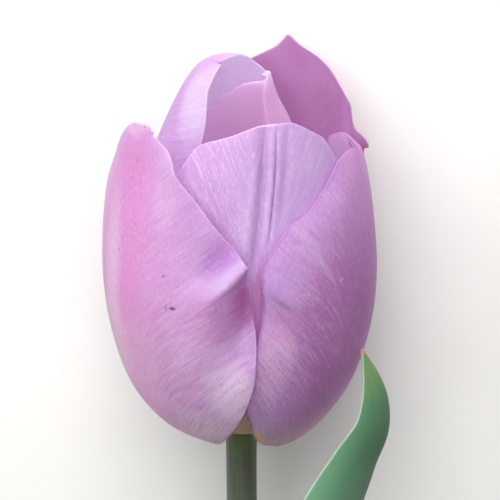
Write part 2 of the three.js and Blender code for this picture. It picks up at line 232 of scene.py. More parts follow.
def closed_sheet(name, outer, inner, maps):
    """A closed solid from two skins of one grid: the skins, and a strip of faces between their borders."""
    rows, columns = outer.shape[:2]
    count = rows * columns
    front = grid_quads(rows, columns)
    back = front[:, ::-1] + count
    ring = grid_border(rows, columns)
    ahead = np.roll(ring, -1)
    rim = np.stack([ahead, ring, ring + count, ahead + count], axis=1)
    points = np.concatenate([outer.reshape(-1, 3), inner.reshape(-1, 3)])
    faces = np.concatenate([front, back, rim])
    return write_mesh(name, points, faces, maps)


def on_both_skins(a, b):
    """Pairs for a UV map of a closed sheet, with the same two numbers on both skins."""
    return np.concatenate([np.stack([a.ravel(), b.ravel()], axis=1)] * 2)


def skin_map(rim):
    """Pairs for a UV map of a closed sheet: 0 on the outer skin or 1 on the inner, and mm from the rim."""
    return np.stack([np.repeat([0.0, 1.0], rim.size), np.tile(rim.ravel(), 2)], axis=1)


def side_by_side(left, right):
    """Two halves that both run from the midrib outwards, joined into one that runs from left to right."""
    return np.concatenate([left[..., :0:-1], right], axis=-1)


# %% [markdown]
# ## The shape of a tepal
#
# Every tepal is the same idea with other measures. Its midrib runs from the foot out round the cup and in
# to the tip, and u is the share of the way along it. Across the midrib the blade turns at a steady rate,
# like a strip of paper bent round a jar: after a share q of its half width w it has turned by w q / r, and
# adding up the cosines and sines of that turn gives how far it reaches sideways and how far it drops back.
# A fold turns it further near the midrib, and hollows and ridges are added along the way out. Sculpting
# could do it too, but measures can be corrected against the picture one at a time.

# %% Midribs of the two whorls
OUTER_CUP = [[3.8, 0.8], [6.3, -0.4], [10.8, 0.4], [16, 4.4], [20.8, 11.5], [24, 22], [25.2, 33], [24.7, 45]]
INNER_CUP = [[3.8, 3.3], [6.2, 2.3], [9.8, 2.8], [14.4, 6.2], [18.4, 12.8], [21, 22.5], [22, 34]]
OUTER_FOOT = [[0, 2.6], [0.1, 7], [0.25, 16]]
INNER_FOOT = [[0, 2.4], [0.1, 6], [0.25, 14], [0.45, 20]]
# A blade of the CAD model is this thick, and at its margin this share of that.
SOLID_THICKNESS = 0.8
SOLID_MARGIN_SHARE = 0.75
TEPAL_THICKNESS = 0.5
MARGIN_SHARE = 0.55
# The rim's half circle stops just short of a point, so that its last faces keep some width.
RIM_ROUNDNESS = 0.96
TEPAL_ROWS = 200
TEPAL_HALF_COLUMNS = 111
LEAST_WIDTH = 0.3
# Where a tip ends in a point rather than a curve, its rounding starts only here.
POINTED = 0.999
# A margin stands off over the width of the blade averaged over this many rows to each side.
STAND_ROWS = 20


def midrib(points, u):
    """Distance from the axis and height at u, where u is the share of the way along the given points."""
    points = np.asarray(points, float)
    along = np.concatenate([[0], np.cumsum(np.hypot(*np.diff(points, axis=0).T))])
    along /= along[-1]
    return (
        through(np.column_stack([along, points[:, 0]]), u),
        through(np.column_stack([along, points[:, 1]]), u),
    )


# %% One half of a tepal, and the whole
def spread(turn, q, width):
    """How far a half blade reaches sideways and drops back: sums of its turn's cosines and sines."""
    step = np.diff(q)
    mean = (turn[:, 1:] + turn[:, :-1]) / 2
    start = np.zeros((len(turn), 1))
    return [
        np.concatenate([start, np.cumsum(part(mean) * step, axis=1)], axis=1) * width[:, None]
        for part in (np.cos, np.sin)
    ]


def half_blade(edge, u, q, distance):
    """Reach, drop and width of one half, whose turn is that of its bend round the axis and of its fold."""
    round_from = edge.get("round_from", POINTED)
    past = np.clip((u - round_from) / (1 - round_from), 0, 1)
    width = through(edge["width"], u) * np.sqrt(1 - past**2)
    width = np.maximum(width + edge.get("ragged", lambda u: 0 * u)(u), LEAST_WIDTH)
    radius = distance * through(edge.get("open", [[0, 1], [1, 1]]), u)
    fold = np.radians(through(edge.get("fold", [[0, 0], [1, 0]]), u))
    turn = (width / radius)[:, None] * q + fold[:, None] * smooth(q, 0, edge.get("fold_end", 1))
    return *spread(turn, q, width), width


def standing(shape, u, v, across, width):
    """How far the margins stand off: from 0.3 of the averaged half width outwards, and not at the ends."""
    stand = np.where(v < 0, shape["left"].get("stand", 0), shape["right"].get("stand", 0))
    window = np.hanning(2 * STAND_ROWS + 1)
    padded = np.pad(width, ((STAND_ROWS, STAND_ROWS), (0, 0)), mode="edge")
    body = sum(weight * padded[k : k + len(u)] for k, weight in enumerate(window)) / window.sum()
    ends = smooth(u, 0.03, 0.15) * smooth(u, 1, 0.9)
    return stand * smooth(np.abs(across) / body, 0.3, 1.1) * ends[:, None]


def tepal_sheet(shape):
    """The middle sheet of a tepal and what its UV maps hold, on a grid of heights and places across."""
    u = crowded(TEPAL_ROWS, 0.45)
    q = crowded(TEPAL_HALF_COLUMNS, 0.4)
    distance, height = midrib(shape["midrib"], u)
    distance = distance * (1 + shape.get("grow", 0) * smooth(u, 0, 0.2))
    azimuth = np.radians(shape["azimuth"] + through(shape.get("drift", [[0, 0], [1, 0]]), u))
    left_reach, left_drop, left_width = half_blade(shape["left"], u, q, distance)
    right_reach, right_drop, right_width = half_blade(shape["right"], u, q, distance)
    reach = side_by_side(-left_reach, right_reach)
    v = side_by_side(-q, q)
    width = np.where(v[None, :] < 0, left_width[:, None], right_width[:, None])
    across = v * width
    out = distance[:, None] - side_by_side(left_drop, right_drop) + standing(shape, u, v, across, width)
    lift = np.broadcast_to(height[:, None], across.shape)
    if "crown" in shape:
        lift = lift + shape["crown"](across) * smooth(u, 0.8, 1)[:, None]
    a = azimuth[:, None]
    right, front = out * np.sin(a) + reach * np.cos(a), out * np.cos(a) - reach * np.sin(a)
    points = np.stack([right, lift, front], axis=2)
    if "relief" in shape:
        points = points + sheet_normals(points) * shape["relief"](across, lift)[..., None]
    top = np.hypot(distance[-1] - distance, height[-1] - height)[:, None]
    rim = np.minimum(width * (1 - np.abs(v)), top + 0 * across)
    return points, v + 0 * across, across, lift, rim


def skins(points, v, rim, thickness):
    """Outer and inner skin: the outer one lies where the CAD solid's does, and the rim is a half circle."""
    normals = sheet_normals(points)
    solid_half = SOLID_THICKNESS / 2 * (1 - (1 - SOLID_MARGIN_SHARE) * v**4)
    half = thickness / 2 * (1 - (1 - MARGIN_SHARE) * v**4)
    near = np.clip(1 - rim / half, 0, 1)
    round_half = half * np.sqrt(1 - near**2 * RIM_ROUNDNESS)
    middle = points + normals * (solid_half - half)[..., None]
    outer = middle + normals * round_half[..., None]
    inner = middle - normals * round_half[..., None]
    floor = -AXIS_HEIGHT
    facing_down = normals[..., 2] < 0
    outer[..., 2] = np.maximum(outer[..., 2], np.where(facing_down, floor, floor + thickness))
    inner[..., 2] = np.maximum(inner[..., 2], np.where(facing_down, floor + thickness, floor))
    return outer, inner


def tepal(name, shape):
    """One tepal. A vein leaves the midrib and bends out to the margin along h = p + a s + b ln(2 s + 1)."""
    points, v, across, lift, rim = tepal_sheet(shape)
    outer, inner = skins(points, v, rim, TEPAL_THICKNESS)
    straight, bend = shape["fan"]
    vein = lift - straight * np.abs(across) - bend * np.log(2 * np.abs(across) + 1)
    maps = {"place": on_both_skins(across, lift), "vein": on_both_skins(vein, v), "skin": skin_map(rim)}
    return closed_sheet(name, outer, inner, maps)


# %% [markdown]
# ## The outer whorl
#
# Three broad tepals hold the bloom. The two at the front overlap the third, and each has a corner in its
# margin where a fold runs down into the blade: a bright ridge with a hollow below it, as on the left one.
# The widths are half widths in millimetres at shares of the way up the midrib, judged from the picture.


# %% Corner folds
def corner_fold(side, crest, profile, fade):
    """Relief by the height above a crest line: curves give the crest's height, and the way out across it."""

    def relief(across, height):
        away = side * across
        return smooth(away, *fade) * through(profile, height - through(crest, away))

    return relief


def groove(line, width, depth):
    """Relief -depth * bell of the distance from a line of [height, across] points that fades at its ends."""
    low, high = line[0][0], line[-1][0]

    def relief(across, height):
        ends = smooth(height, low - 3, low + 3) * smooth(height, high + 3, high - 1)
        return -depth * ends * bump(across, through(line, height), width)

    return relief


def reliefs(*parts):
    """The sum of several reliefs."""
    return lambda across, height: sum(part(across, height) for part in parts)


# %% The left one at the front
LEFT_CREST = [[13.6, 32.7], [15.6, 33.6], [17.8, 34.9], [19.5, 36.3], [21.2, 37.8], [23, 39.6], [24.7, 41.9]]
SOFT_BODY = [
    [-12, 0], [-6, 0.2], [-2.5, 0.5], [0, 0.65], [2.5, 0.35], [5.5, -0.35], [8, -0.5], [12, -0.2], [16, 0],
]
SHARP_CREASE = [[-5, 0], [-2, -0.12], [-1, 0], [-0.3, 0.42], [0.2, 0.5], [1.2, 0.34], [3, 0.1], [5, 0]]
BIG_HOLLOW = [
    [-36, 0], [-26, 0.5], [-21, 0.3], [-17, -1], [-13, -2.1], [-10, -2.2], [-7, -1.6], [-4, -0.8], [-1, 0],
    [5, 0],
]
OUTER_LEFT = {
    "azimuth": -52,
    "fan": (0.55, 3),
    "midrib": [[3.8, 0.8], [6.3, 0.1], [10.8, 1], [16, 4.6]] + OUTER_CUP[4:] + [[23.2, 56], [22.4, 64.7]],
    "crown": lambda s: -0.25 * bump(s, 1.4, 0.3),
    "grow": 0.012,
    "left": {
        "width": [[0, 2.6], [0.1, 7], [0.25, 17], [0.45, 22.5], [0.65, 21.5], [0.8, 15], [0.9, 9], [1, 6]],
        "round_from": 0.9,
    },
    "right": {
        "width": [
            [0, 2.6], [0.07, 4], [0.16, 11.4], [0.25, 17.9], [0.3, 20.9], [0.38, 24.3], [0.43, 25.5],
            [0.46, 26.1], [0.49, 26.5], [0.52, 26.6], [0.55, 26.4], [0.6, 25.8], [0.64, 25.2],
            [0.665, 24.8], [0.682, 24.8], [0.694, 25], [0.7, 24.7], [0.715, 23.8], [0.74, 22.1],
            [0.767, 20], [0.795, 18], [0.847, 14.4], [0.875, 12], [0.9, 10.1], [0.93, 9.1], [0.954, 7.6],
            [0.964, 6.3], [0.973, 5.2], [0.977, 4.4], [0.981, 3.6], [0.986, 4.1], [0.989, 3.6],
            [0.995, 2.9], [1, 1.2],
        ],
        "stand": 1.1,
        "ragged": lambda u: ripple(u, (0.06, 0.017, 0), (0.05, 0.0083, 1)) * smooth(u, 0.3, 0.7),
    },
    "relief": reliefs(
        corner_fold(1, LEFT_CREST, SOFT_BODY, (10, 20)),
        corner_fold(1, LEFT_CREST, SHARP_CREASE, (16, 23)),
        corner_fold(1, LEFT_CREST, BIG_HOLLOW, (14, 26)),
        groove([[60, 3.2], [62.5, 2.9], [64.5, 2.6]], 0.45, 0.25),
    ),
}
outer_left = tepal("petal_outer_left", OUTER_LEFT)

# %% The right one at the front
RIGHT_CREST = [[12, 31], [15, 32.2], [18, 34.2], [20.5, 36], [23, 38]]
RIGHT_FOLD = [
    [-30, 0], [-16, 0.1], [-11, 0], [-8, -0.3], [-5, -0.5], [-3, -0.3], [-1, 0.1], [0.5, 0.35], [2, 0.4],
    [5, 0.2], [9, 0], [16, 0],
]
RIGHT_CROWN = [
    [-8, 0], [-2, -0.7], [0, -1.4], [4, -1.6], [7, -1.7], [10, -1.6], [12.5, -0.8], [15, 0.1], [18, 0],
]
OUTER_RIGHT = {
    "azimuth": 61,
    "fan": (0.95, 3),
    "midrib": [[3.8, 0.8], [6.3, -1], [10.8, -0.5], [16, 4]] + OUTER_CUP[4:] + [[23.4, 54], [21.9, 59.4]],
    "drift": [[0, 0], [0.8, 0], [1, 8]],
    "crown": lambda s: through(RIGHT_CROWN, s),
    "left": {
        "width": [
            [0, 1.9], [0.07, 2.5], [0.1, 4], [0.13, 6.1], [0.165, 10.7], [0.23, 15.5], [0.28, 17.9],
            [0.325, 20.4], [0.41, 22.1], [0.49, 22.2], [0.55, 22.1], [0.6, 21.8], [0.64, 21.7],
            [0.66, 21.8], [0.677, 22.1], [0.69, 22.1], [0.713, 22.1], [0.738, 21.8], [0.767, 20.6],
            [0.795, 19.2], [0.821, 17.6], [0.838, 16.7], [0.847, 15.8], [0.856, 14.2], [0.875, 12.4],
            [0.9, 10.7], [0.93, 8.9], [0.954, 7.8], [0.97, 7], [1, 4.4],
        ],
        "round_from": 0.975,
        "stand": -0.85,
        "ragged": lambda u: ripple(u, (0.07, 0.021, 0.4), (0.05, 0.009, 1.3)) * smooth(u, 0.55, 0.7),
    },
    "right": {
        "width": [
            [0, 2.6], [0.05, 5], [0.1, 8.2], [0.25, 16.5], [0.45, 23], [0.65, 24], [0.8, 22.8], [0.88, 22],
            [0.93, 20.4], [0.95, 17.5], [0.965, 12.9], [0.98, 7], [0.992, 3], [1, 0.3],
        ],
        "open": [[0, 1], [0.5, 1], [0.8, 0.75], [1, 0.6]],
        "stand": -0.7,
    },
    "relief": reliefs(
        corner_fold(-1, RIGHT_CREST, RIGHT_FOLD, (9, 21)),
        lambda s, h: -0.6 * smooth(h, 52, 56) * bump(s, 4, 1.2),
    ),
}
outer_right = tepal("petal_outer_right", OUTER_RIGHT)

# %% The one at the back
OUTER_BACK = {
    "azimuth": 158,
    "fan": (1.2, 4),
    "midrib": OUTER_CUP + [[23.2, 56], [20.4, 65], [17.4, 73]],
    "drift": [[0, 6], [0.6, 0], [1, -8]],
    "left": {
        "width": OUTER_FOOT + [
            [0.45, 21], [0.65, 19.8], [0.735, 18.4], [0.747, 19], [0.755, 20.7], [0.762, 21.4],
            [0.769, 21.3], [0.775, 19.9], [0.779, 17.3], [0.783, 15.8], [0.79, 15], [0.8, 14.5],
            [0.82, 14.3], [0.847, 14.2], [0.875, 12.4], [0.9, 10.7], [0.93, 8.5], [0.954, 5.7],
            [0.974, 2.6], [1, 0.3],
        ],
        "stand": 1.2,
    },
    "right": {
        "width": OUTER_FOOT + [
            [0.45, 23], [0.65, 24], [0.8, 18], [0.88, 12], [0.92, 8.5], [0.94, 5.8], [0.96, 3.2],
            [0.985, 1.2], [1, 0.3],
        ],
    },
}
outer_back = tepal("petal_outer_back", OUTER_BACK)

# %% [markdown]
# ## The inner whorl
#
# The three inner tepals stand in the gaps of the outer ones. The front one has a strong midrib with grooves
# beside it, the left one rolls its margin over into a band with a painted highlight, and the back one
# folds half of itself inwards.

# %% The inner one at the front
FRONT_CROWN = [[-12, 0], [-6, -0.3], [-3, -0.6], [-1.6, -0.7], [0, -1.15], [3.5, -0.5], [10, 0]]
INNER_FRONT = {
    "azimuth": 8,
    "fan": (1.5, 4),
    "midrib": INNER_CUP + [[21.8, 45], [20.4, 57], [19, 66.8]],
    "drift": [[0, 0], [0.5, 0], [1, 6]],
    "crown": lambda s: through(FRONT_CROWN, s),
    "left": {
        "width": INNER_FOOT + [
            [0.65, 20], [0.85, 16.2], [0.9, 14.1], [0.928, 12.5], [0.942, 10.7], [0.95, 9.1], [0.957, 7.7],
            [0.966, 5.9], [0.975, 4.6], [0.985, 3.1], [1, 0.3],
        ],
    },
    "right": {
        "width": INNER_FOOT + [
            [0.65, 20], [0.86, 15.8], [0.9, 13.8], [0.93, 11.9], [0.954, 9.1], [0.98, 6.1], [0.992, 4],
            [1, 0.3],
        ],
    },
    "relief": reliefs(
        groove([[40, -1.2], [50, -0.8], [66, -0.1]], 1.2, 0.5),
        groove([[40, -2.9], [52, -2.3], [58, -1.8]], 0.8, -0.22),
        groove([[44, 1.1], [54, 1.7], [64, 1.8]], 0.35, 0.22),
        groove([[44, 0.4], [56, 1.1], [62, 1.2]], 0.4, -0.18),
        groove([[50, 3.2], [60, 3.8], [64, 4]], 0.8, 0.15),
    ),
}
inner_front = tepal("petal_inner_front", INNER_FRONT)

# %% The inner one on the left
INNER_LEFT = {
    "azimuth": -122,
    "fan": (0.2, 2.5),
    "midrib": INNER_CUP + [[20.2, 45], [16.6, 55], [13.1, 63], [9.8, 68.7], [7, 71.4], [4.3, 71.2]],
    "crown": lambda s: through([[-20, -0.4], [-9, -0.5], [-3, 0], [0, 0], [8, 0]], s),
    "left": {
        "width": INNER_FOOT + [
            [0.65, 21], [0.8, 20.4], [0.86, 19.3], [0.895, 18], [0.915, 16], [0.952, 10.4], [1, 5],
        ],
        "round_from": 0.95,
        "stand": 2.1,
    },
    "right": {
        "width": INNER_FOOT + [
            [0.65, 20], [0.75, 18.2], [0.8, 16.3], [0.85, 13.6], [0.9, 10.6], [0.93, 9.2], [0.96, 7.4],
            [1, 4],
        ],
        "round_from": 0.97,
        "open": [[0, 1], [0.5, 1], [0.75, 0.6], [1, 0.5]],
    },
}
inner_left = tepal("petal_inner_left", INNER_LEFT)

# %% The inner one at the back
INNER_BACK = {
    "azimuth": 150,
    "fan": (0.8, 4),
    "midrib": INNER_CUP + [[19.2, 45], [14.2, 57], [11.2, 64], [9.9, 67.6]],
    "drift": [[0, 0], [0.6, -8], [0.8, -8], [0.87, -6], [0.93, -1], [1, 0]],
    "left": {
        "width": [
            [0, 2.4], [0.05, 5.2], [0.1, 7.8], [0.25, 14.5], [0.45, 19], [0.6, 14.5], [0.7, 9.6],
            [0.8, 6.6], [0.875, 5.1], [0.9, 4.3], [0.93, 3.5], [0.96, 2.4], [1, 0.3],
        ],
        "fold": [[0, 0], [0.5, 10], [0.75, 100], [1, 115]],
        "fold_end": 0.35,
    },
    "right": {
        "width": INNER_FOOT + [
            [0.65, 20], [0.8, 17], [0.875, 14.3], [0.9, 12], [0.92, 10], [0.93, 8.9], [0.945, 7.3],
            [0.952, 5.8], [0.96, 4.4], [0.966, 2.6], [0.972, 1.5], [1, 0.3],
        ],
        "stand": -2.1,
        "ragged": lambda u: ripple(u, (0.6, 0.034, 0.6), (0.3, 0.013, 2)) * smooth(u, 0.7, 0.85),
    },
}
inner_back = tepal("petal_inner_back", INNER_BACK)

# %% [markdown]
# ## Courses in space
#
# The stem and the leaves follow curves in three dimensions. Blender's own curve objects with a bevel would
# make a round tube, but not one that swells where a leaf clasps it. A centripetal Catmull-Rom spline goes
# through every point without loops. It is sampled densely once, and then asked for points by the share of
# its length.


# %% A spline that knows its length
class Course:
    """A centripetal Catmull-Rom spline: at(share) and along(share) give points and unit tangents."""

    SAMPLES = 400
    TANGENT_STEP = 0.002

    def __init__(self, points):
        knots = np.asarray(points, float)
        knots = np.vstack([2 * knots[0] - knots[1], knots, 2 * knots[-1] - knots[-2]])
        gap = np.sqrt(np.linalg.norm(np.diff(knots, axis=0), axis=1))[:, None]
        slope_in = lambda i: (
            (knots[i] - knots[i - 1]) / gap[i - 1]
            - (knots[i + 1] - knots[i - 1]) / (gap[i - 1] + gap[i])
            + (knots[i + 1] - knots[i]) / gap[i]
        )
        t = np.linspace(0, 1, self.SAMPLES, endpoint=False)[:, None]
        pieces = []
        for i in range(1, len(knots) - 2):
            rises = slope_in(i) * gap[i], slope_in(i + 1) * gap[i]
            pieces.append(hermite(t, knots[i], knots[i + 1], *rises))
        self.points = np.vstack(pieces + [knots[-2:-1]])
        run = np.concatenate([[0], np.cumsum(np.linalg.norm(np.diff(self.points, axis=0), axis=1))])
        self.length = run[-1]
        self.share = run / run[-1]

    def at(self, share):
        return np.stack([np.interp(share, self.share, axis) for axis in self.points.T], axis=-1)

    def along(self, share):
        low = np.clip(np.asarray(share) - self.TANGENT_STEP, 0, 1)
        high = np.clip(np.asarray(share) + self.TANGENT_STEP, 0, 1)
        ahead = self.at(high) - self.at(low)
        return ahead / np.linalg.norm(ahead, axis=-1, keepdims=True)


# %% Tubes along a course
def across_frame(tangent, facing):
    """Two unit vectors across each tangent: facing made square to it, and the cross product of the two."""
    front = facing - np.sum(facing * tangent, axis=-1, keepdims=True) * tangent
    front = front / np.linalg.norm(front, axis=-1, keepdims=True)
    return front, np.cross(tangent, front)


def tube(name, course, places, radii, facing, sides, section=None, flat=None):
    """A closed tube: rings at shares of a course, each an ellipse of the given radius which section(angle,
    place) varies, and a flat face on each end. Its UV map around holds the turn, 0 to 1, and mm along it."""
    centre = course.at(places)
    front, side = across_frame(course.along(places), np.asarray(facing, float))
    angle = np.linspace(0, 2 * np.pi, sides, endpoint=False)
    radius = np.asarray(radii)[:, None] * (1 if section is None else section(angle, places[:, None]))
    squash = np.ones_like(places) if flat is None else flat
    points = (
        centre[:, None, :]
        + front[:, None, :] * (squash[:, None] * radius * np.cos(angle))[..., None]
        + side[:, None, :] * (radius * np.sin(angle))[..., None]
    )
    rows = len(places)
    index = np.arange(rows * sides).reshape(rows, sides)
    onward = np.roll(index, -1, axis=1)
    quads = np.stack([index[:-1], onward[:-1], onward[1:], index[1:]], axis=2).reshape(-1, 4)
    faces = quads.tolist() + [index[0, ::-1].tolist(), index[-1].tolist()]
    down = np.broadcast_to((places * course.length)[:, None], (rows, sides))
    turn = np.broadcast_to(angle / (2 * np.pi), (rows, sides))
    maps = {"around": np.stack([turn.ravel(), down.ravel()], axis=1)}
    return write_mesh(name, points.reshape(-1, 3), faces, maps)


# %% [markdown]
# ## The stem
#
# One smooth stem, six millimetres thick, which widens at its top into the receptacle that the tepals grow
# from. It droops to the table and swells a little where each leaf clasps it. Its far end is cut square.

# %% Stem
RECEPTACLE_TOP = 5
STEM_RADIUS = 2.95
UPPER_FOOT = 78
LOWER_FOOT = 184
STEM_COURSE = Course([
    [0, RECEPTACLE_TOP, 0], [0, -8, 0], [0.6, -50, -1.2], [3, -105, -6.5], [7, -165, -14.5],
    [11, -212, -20.2], [14, -245, STEM_RADIUS - AXIS_HEIGHT],
])
STEM_RADII = [
    [0, 3.3], [0.6, 3.7], [2.5, 3.8], [4.5, 3.6], [6.5, 3.1], [8, 2.97], [14, 2.9], [24, 2.9],
    [40, STEM_RADIUS], [250, STEM_RADIUS],
]
STEM_BEVEL = 0.4
STEM_SIDES = 96


def stem():
    """The stem as a tube down its course: a smooth radius, two swellings, fine ribs and bevelled ends."""
    length = STEM_COURSE.length
    bevel = np.array([0, 0.04, 0.12, 0.25, STEM_BEVEL])
    inset = STEM_BEVEL - np.sqrt(np.maximum(STEM_BEVEL**2 - (STEM_BEVEL - bevel) ** 2, 0))
    down = np.concatenate([bevel, np.linspace(0.6, length - 0.6, 260), length - bevel[::-1]])
    radius = through(STEM_RADII, down) + 0.12 * bump(down, UPPER_FOOT, 6) + 0.15 * bump(down, LOWER_FOOT, 7)
    radius[: len(bevel)] -= inset
    radius[-len(bevel) :] -= inset[::-1]
    ribs = lambda angle, place: 1 + 0.006 * np.sin(9 * angle) + 0.004 * np.sin(23 * angle + 8 * place)
    return tube("flower_stem", STEM_COURSE, down / length, radius, (0, 0, 1), STEM_SIDES, ribs)


flower_stem = stem()
print("stem length, mm:", round(STEM_COURSE.length, 1))

# %% [markdown]
# ## The leaves
#
# A tulip leaf is a long blade folded up along its middle, which clasps the stem at its foot. It is made
# like a tepal, but its midrib runs freely in space: at each step along the course the blade spreads to both
# sides and turns back by a given angle, nearly half way round the stem at the foot and much less at the
# tip.


# %% Leaf blades
LEAF_THICKNESS = 0.6
LEAF_ROWS = 260
LEAF_HALF_COLUMNS = 41


def beside_stem(down, azimuth, out):
    """The point at that distance down the stem and out from its axis, at that azimuth."""
    place = down / STEM_COURSE.length
    angle = np.radians(azimuth)
    away, _ = across_frame(STEM_COURSE.along(place), np.array([np.sin(angle), 0, np.cos(angle)]))
    return (STEM_COURSE.at(place) + away * out).tolist()


def leaf(name, shape):
    """A leaf: point = midrib + side * sum of cosines + out * (wave - sum of sines) of the turn across it."""
    course = Course(shape["course"])
    u = np.linspace(0, 1, LEAF_ROWS)
    q = crowded(LEAF_HALF_COLUMNS, 0.5)
    azimuth = np.radians(through(shape["facing"], u))
    facing = np.stack([np.sin(azimuth), 0 * azimuth, np.cos(azimuth)], axis=1)
    out, side = across_frame(course.along(u), facing)
    width = np.maximum(through(shape["width"], u), LEAST_WIDTH)
    reach, drop = spread(np.radians(through(shape["turn"], u))[:, None] * q, q, width)
    v = side_by_side(-q, q)
    across = v * width[:, None]
    reach = side_by_side(-reach, reach)[..., None]
    away = (shape["wave"](u[:, None], v) - side_by_side(drop, drop))[..., None]
    points = course.at(u)[:, None, :] + side[:, None, :] * reach + out[:, None, :] * away
    length = u[:, None] * course.length + 0 * across
    to_tip = (1 - u[:, None]) * course.length + 0 * across
    rim = np.minimum(width[:, None] * (1 - np.abs(v)), to_tip)
    outer, inner = skins(points, v + 0 * across, rim, LEAF_THICKNESS)
    maps = {"place": on_both_skins(across, length), "skin": skin_map(rim)}
    return closed_sheet(name, outer, inner, maps)


# A leaf's foot clasps the stem with its midrib this far from the stem's axis.
CLASP = STEM_RADIUS + 0.55 + SOLID_THICKNESS / 2
UPPER_LEAF = {
    "course": [
        beside_stem(UPPER_FOOT, 50, CLASP), beside_stem(UPPER_FOOT - 8, 50, CLASP + 0.1),
        beside_stem(UPPER_FOOT - 18, 50, CLASP + 2.6), [12.5, -37, 9], [17, -16, 14.6], [21.8, -1.7, 15],
        [24.8, 5, 14], [25.2, 9.6, 12.6], [24.4, 13.6, 11.4], [22.1, 19.6, 10],
    ],
    "facing": [[0, 50], [0.3, 46], [0.6, 42], [1, 36]],
    "width": [
        [0, 6.2], [0.08, 6.3], [0.25, 10.5], [0.45, 11.5], [0.62, 9.2], [0.72, 7.1], [0.77, 5.9],
        [0.8, 5.3], [0.83, 4.8], [0.86, 4.25], [0.889, 3.7], [0.936, 2.4], [1, 0.3],
    ],
    "turn": [[0, 92], [0.08, 90], [0.18, 66], [0.35, 44], [0.6, 40], [1, 34]],
    "wave": lambda u, v: 0.5 * v**2 * np.sin(9 * u + 1.2 * np.sign(v)),
}
LOWER_LEAF = {
    "course": [
        beside_stem(LOWER_FOOT, -95, CLASP), beside_stem(LOWER_FOOT - 10, -95, CLASP + 0.1),
        beside_stem(LOWER_FOOT - 22, -95, CLASP + 3.4), [-10, -132, -10.5], [-22, -112, -11.5],
        [-32, -90, -18.5], [-36.5, -68, -23], [-38, -50, -24], [-37, -36, -23],
    ],
    "facing": [[0, -95], [0.1, -96], [0.3, -122], [0.55, -150], [1, -165]],
    "width": [
        [0, 6.4], [0.06, 6.4], [0.25, 14], [0.45, 18.5], [0.62, 17], [0.78, 12], [0.9, 6.5], [0.97, 2.4],
        [1, 0.3],
    ],
    "turn": [[0, 94], [0.07, 92], [0.16, 70], [0.32, 46], [0.6, 32], [1, 24]],
    "wave": lambda u, v: 1.6 * v**2 * np.sin(15 * u + 1.5 * np.sign(v)) * smooth(u, 0.1, 0.3),
}
upper_leaf = leaf("leaf_upper", UPPER_LEAF)
lower_leaf = leaf("leaf_lower", LOWER_LEAF)

# %% [markdown]
# ## Pistil and stamens
#
# The closed bloom hides them, but the flower is judged from every side and light falls in at its mouth. The
# pistil is a three sided ovary under a stigma with three lobes. Each stamen is a filament that narrows
# upwards and then carries a long anther with a groove down each side.

# %% Pistil
PISTIL_HEIGHT = 22
PISTIL_RADII = [
    [0, 1.3], [0.04, 1.7], [0.12, 2.2], [0.25, 2.7], [0.45, 2.9], [0.65, 2.75], [0.78, 2.3], [0.84, 2.1],
    [0.87, 2.7], [0.91, 3.3], [0.95, 3.2], [0.98, 2.5], [1, 1.2],
]


def pistil():
    """The pistil as a tube of radius times 1 + c cos 3a, where c grows at the stigma, and fine ribs on
    that."""
    course = Course([[0, PISTIL_FOOT + share * PISTIL_HEIGHT, 0] for share in (0, 0.5, 1)])
    places = np.linspace(0, 1, 120)
    lobes = lambda angle, place: (
        1 + (0.09 + 0.21 * smooth(place, 0.83, 0.87)) * np.cos(3 * angle)
        + 0.02 * smooth(place, 0.86, 0.9) * np.sin(24 * angle + 60 * place)
    )
    return tube("pistil_flower", course, places, through(PISTIL_RADII, places), (0, 0, 1), 96, lobes)


pistil_piece = pistil()

# %% Stamens
STAMEN_COUNT = 6
STAMEN_RADII = [
    [0, 0.72], [0.15, 0.8], [0.3, 0.65], [0.41, 0.4], [0.44, 0.45], [0.47, 1], [0.52, 1.3], [0.65, 1.35],
    [0.8, 1.25], [0.92, 1], [0.98, 0.6], [1, 0.25],
]
STAMEN_FLATNESS = [
    [0, 0.7], [0.15, 0.7], [0.3, 0.8], [0.41, 1], [0.47, 0.9], [0.65, 0.85], [0.92, 0.85], [1, 1],
]


def stamen(number):
    """A stamen as a tube at 30 + 60 k degrees round the axis; the anther's radius dips at its two grooves."""
    angle = np.radians(30 + 360 / STAMEN_COUNT * (number - 1))
    out = np.array([np.sin(angle), 0, np.cos(angle)])
    course = Course([
        out * reach + np.array([0, height, 0])
        for reach, height in [(2.5, RECEPTACLE_TOP + 0.45), (3.9, 10), (5.2, 15), (6.1, 20), (6.6, 27)]
    ])
    places = np.linspace(0, 1, 90)
    dips = lambda a, place: 1 - 0.14 * smooth(place, 0.44, 0.5) * np.cos(2 * a) ** 8
    radii, flat = through(STAMEN_RADII, places), through(STAMEN_FLATNESS, places)
    return tube("stamen_grain_%d" % number, course, places, radii, out, 32, dips, flat)


stamens = [stamen(number + 1) for number in range(STAMEN_COUNT)]

# %% [markdown]
# ## Shader maths in plain Python
#
# A material is a tree of nodes. Wired by hand in Python it takes three lines for every sum, so one small
# class wraps an output socket: sums and products of wires add Math nodes, and any other node comes from its
# one method.


# %% Wires
def input_socket(made, key):
    """A node's input socket by its number, its identifier or else its name."""
    if isinstance(key, int):
        return made.inputs[key]
    return next(s for kind in ("identifier", "name") for s in made.inputs if getattr(s, kind) == key)


